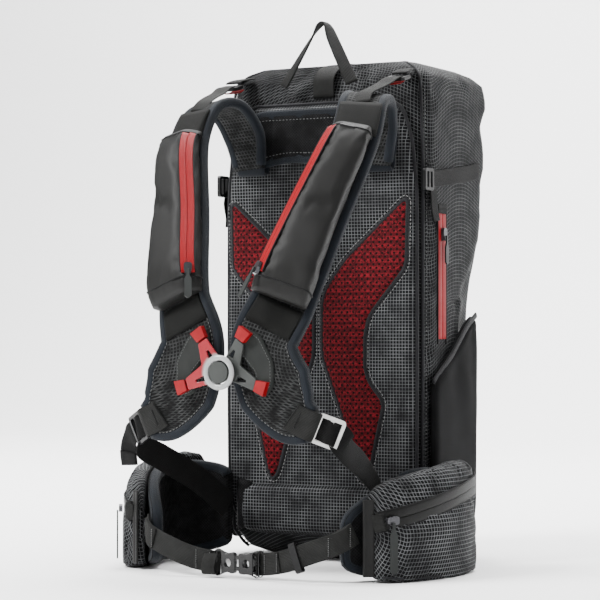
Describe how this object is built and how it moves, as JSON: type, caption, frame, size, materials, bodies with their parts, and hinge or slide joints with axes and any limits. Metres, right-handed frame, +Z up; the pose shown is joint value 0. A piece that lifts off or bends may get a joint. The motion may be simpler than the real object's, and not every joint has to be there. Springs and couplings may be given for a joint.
{
  "type": "ski touring backpack",
  "caption": "Upright ski-touring backpack with a framed mesh back, four-point chest harness, zipped strap and hip pockets and a side-release belt.",
  "frame": {"origin": "on the surface it stands on, under the middle of the outer box", "axes": "+Z up the back; -Y is the wearer's side, +X the wearer's left"},
  "size_m": [0.412, 0.4608, 0.6442],
  "materials": {
    "grid_ripstop": "ripstop grid weave",
    "pocket_fabric": "satin nylon",
    "red_mesh": "spacer mesh",
    "black_mesh": "spacer mesh",
    "stretch_fabric": "stretch woven",
    "black_webbing": "woven webbing",
    "grey_webbing": "woven webbing",
    "zip_slider": "painted die cast",
    "zip_pull": "moulded cord pull",
    "chest_plate": "stitched coated fabric",
    "clear_arm": "translucent plastic",
    "grey_arm": "moulded plastic",
    "red_clip": "moulded plastic",
    "button": "moulded plastic",
    "pale_plastic": "moulded plastic",
    "stay_aluminium": "mill",
    "frame_sheet": "polyethylene sheet",
    "black_plastic": "moulded acetal"
  },
  "bodies": {
    "root": {"main_bag": "grid_ripstop", "frame_sheet": "frame_sheet", "back_panel": "grid_ripstop", "shoulder_yoke": "black_mesh", "lumbar_pad": "black_mesh", "top_strap": "black_webbing", "left_frame_stay": "stay_aluminium", "left_back_mesh": "red_mesh", "left_side_pocket": "stretch_fabric", "left_compression_strap": "black_webbing", "left_lifter_webbing": "black_webbing", "left_lower_webbing": "black_webbing", "right_frame_stay": "stay_aluminium", "right_back_mesh": "red_mesh", "right_side_pocket": "stretch_fabric", "right_compression_strap": "black_webbing", "right_lifter_webbing": "black_webbing", "right_lower_webbing": "black_webbing"},
    "haul_loop": {"haul_loop": "black_webbing"},
    "side_zip_slider": {"side_zip_slider": "zip_slider"},
    "side_zip_pull": {"side_zip_pull": "zip_pull"},
    "chest_button": {"chest_button": "button"},
    "upper_prong": {"upper_prong": "black_plastic"},
    "lower_prong": {"lower_prong": "black_plastic"},
    "left_strap": {"left_strap_pad": "black_mesh", "left_strap_pocket": "pocket_fabric", "left_chest_plate": "chest_plate", "left_chest_arm": "grey_arm", "left_upper_clip": "red_clip", "left_lower_clip": "red_clip"},
    "left_strap_zip_slider": {"left_strap_zip_slider": "zip_slider"},
    "left_strap_zip_pull": {"left_strap_zip_pull": "zip_pull"},
    "left_ladder_lock": {"left_ladder_lock": "pale_plastic"},
    "left_lifter_buckle": {"left_lifter_buckle": "black_plastic"},
    "left_compression_buckle": {"left_compression_buckle": "black_plastic"},
    "left_wing": {"left_wing_pad": "black_mesh", "left_hip_pocket": "grid_ripstop", "left_belt_webbing": "grey_webbing", "buckle_socket": "black_plastic", "belt_triglide": "black_plastic"},
    "left_hip_zip_slider": {"left_hip_zip_slider": "zip_slider"},
    "left_hip_zip_pull": {"left_hip_zip_pull": "zip_pull"},
    "right_strap": {"right_strap_pad": "black_mesh", "right_strap_pocket": "pocket_fabric", "right_chest_plate": "chest_plate", "right_chest_arm": "clear_arm", "right_upper_clip": "red_clip", "right_lower_clip": "red_clip"},
    "right_strap_zip_slider": {"right_strap_zip_slider": "zip_slider"},
    "right_strap_zip_pull": {"right_strap_zip_pull": "zip_pull"},
    "right_ladder_lock": {"right_ladder_lock": "black_plastic"},
    "right_lifter_buckle": {"right_lifter_buckle": "black_plastic"},
    "right_compression_buckle": {"right_compression_buckle": "black_plastic"},
    "right_wing": {"right_wing_pad": "black_mesh", "right_hip_pocket": "grid_ripstop", "right_belt_webbing": "grey_webbing", "buckle_plug": "black_plastic"},
    "right_hip_zip_slider": {"right_hip_zip_slider": "zip_slider"},
    "right_hip_zip_pull": {"right_hip_zip_pull": "zip_pull"}
  },
  "joints": [
    {"name": "left_strap_swing", "type": "hinge", "parent": "root", "child": "left_strap", "pos_m": [0.088, -0.003, 0.5], "axis": [0, -1, 0], "range_deg": [0, 20], "deforming": ["left_lower_webbing", "left_lifter_webbing"]},
    {"name": "left_wing_swing", "type": "hinge", "parent": "root", "child": "left_wing", "pos_m": [0.118, 0.002, 0.06], "axis": [0, 0, 1], "range_deg": [0, 15]},
    {"name": "left_strap_zip_slide", "type": "slide", "parent": "left_strap", "child": "left_strap_zip_slider", "axis": [0.2608, 0.4127, 0.8727], "range_m": [0, 0.14]},
    {"name": "left_strap_pull_lift", "type": "hinge", "parent": "left_strap_zip_slider", "child": "left_strap_zip_pull", "pos_m": [0.0422, -0.21358, 0.34398], "axis": [-0.8514, 0.5244, 0.0065], "range_deg": [0, 60]},
    {"name": "left_hip_zip_run", "type": "hinge", "parent": "left_wing", "child": "left_hip_zip_slider", "pos_m": [-0.003, -0.029, 0.0795], "axis": [0, -0.0906, 0.9959], "range_deg": [0, 44]},
    {"name": "left_hip_pull_lift", "type": "hinge", "parent": "left_hip_zip_slider", "child": "left_hip_zip_pull", "pos_m": [0.17849, -0.14686, 0.067], "axis": [-0.5446, -0.8387, 0], "range_deg": [0, 60]},
    {"name": "left_ladder_lock_tilt", "type": "hinge", "parent": "left_strap", "child": "left_ladder_lock", "pos_m": [0.11014, -0.19597, 0.17012], "axis": [0.4137, -0.0039, 0.9104], "range_deg": [0, 40]},
    {"name": "left_lifter_buckle_tilt", "type": "hinge", "parent": "root", "child": "left_lifter_buckle", "pos_m": [0.112, 0.00589, 0.56938], "axis": [-1, 0, 0], "range_deg": [0, 40]},
    {"name": "left_compression_buckle_swing", "type": "hinge", "parent": "root", "child": "left_compression_buckle", "pos_m": [0.1385, 0.0352, 0.451], "axis": [0, 0, 1], "range_deg": [0, 50]},
    {"name": "right_strap_swing", "type": "hinge", "parent": "root", "child": "right_strap", "pos_m": [-0.088, -0.003, 0.5], "axis": [0, 1, 0], "range_deg": [0, 20], "deforming": ["right_lower_webbing", "right_lifter_webbing"]},
    {"name": "right_wing_swing", "type": "hinge", "parent": "root", "child": "right_wing", "pos_m": [-0.118, 0.002, 0.06], "axis": [0, 0, -1], "range_deg": [0, 15], "deforming": ["upper_prong", "lower_prong"]},
    {"name": "right_strap_zip_slide", "type": "slide", "parent": "right_strap", "child": "right_strap_zip_slider", "axis": [-0.2608, 0.4127, 0.8727], "range_m": [0, 0.14]},
    {"name": "right_strap_pull_lift", "type": "hinge", "parent": "right_strap_zip_slider", "child": "right_strap_zip_pull", "pos_m": [-0.0422, -0.21358, 0.34398], "axis": [-0.8514, -0.5244, -0.0065], "range_deg": [0, 60]},
    {"name": "right_hip_zip_run", "type": "hinge", "parent": "right_wing", "child": "right_hip_zip_slider", "pos_m": [0.003, -0.029, 0.0795], "axis": [0, 0.0906, -0.9959], "range_deg": [0, 44]},
    {"name": "right_hip_pull_lift", "type": "hinge", "parent": "right_hip_zip_slider", "child": "right_hip_zip_pull", "pos_m": [-0.17849, -0.14686, 0.067], "axis": [-0.5446, 0.8387, 0], "range_deg": [0, 60]},
    {"name": "right_ladder_lock_tilt", "type": "hinge", "parent": "right_strap", "child": "right_ladder_lock", "pos_m": [-0.11014, -0.19597, 0.17012], "axis": [0.4137, 0.0039, -0.9104], "range_deg": [0, 40]},
    {"name": "right_lifter_buckle_tilt", "type": "hinge", "parent": "root", "child": "right_lifter_buckle", "pos_m": [-0.112, 0.00589, 0.56938], "axis": [-1, 0, 0], "range_deg": [0, 40]},
    {"name": "right_compression_buckle_swing", "type": "hinge", "parent": "root", "child": "right_compression_buckle", "pos_m": [-0.1385, 0.0352, 0.451], "axis": [0, 0, -1], "range_deg": [0, 50]},
    {"name": "haul_loop_fold", "type": "hinge", "parent": "root", "child": "haul_loop", "pos_m": [0, 0.011, 0.567], "axis": [1, 0, 0], "range_deg": [0, 75]},
    {"name": "side_zip_slide", "type": "slide", "parent": "root", "child": "side_zip_slider", "axis": [0, 0, -1], "range_m": [0, 0.11]},
    {"name": "side_pull_lift", "type": "hinge", "parent": "side_zip_slider", "child": "side_zip_pull", "pos_m": [0.1412, 0.071, 0.387], "axis": [0, -1, 0], "range_deg": [0, 60]},
    {"name": "chest_button_press", "type": "slide", "parent": "right_strap", "child": "chest_button", "axis": [0, 1, 0], "range_m": [0, 0.0025], "stiffness_N_per_m": 300},
    {"name": "upper_prong_squeeze", "type": "hinge", "parent": "right_wing", "child": "upper_prong", "pos_m": [-0.0025, -0.175, 0.023], "axis": [0, 1, 0], "range_deg": [0, 5], "stiffness_Nm_per_rad": 0.05},
    {"name": "lower_prong_squeeze", "type": "hinge", "parent": "right_wing", "child": "lower_prong", "pos_m": [-0.0025, -0.175, 0.011], "axis": [0, -1, 0], "range_deg": [0, 5], "stiffness_Nm_per_rad": 0.05}
  ]
}
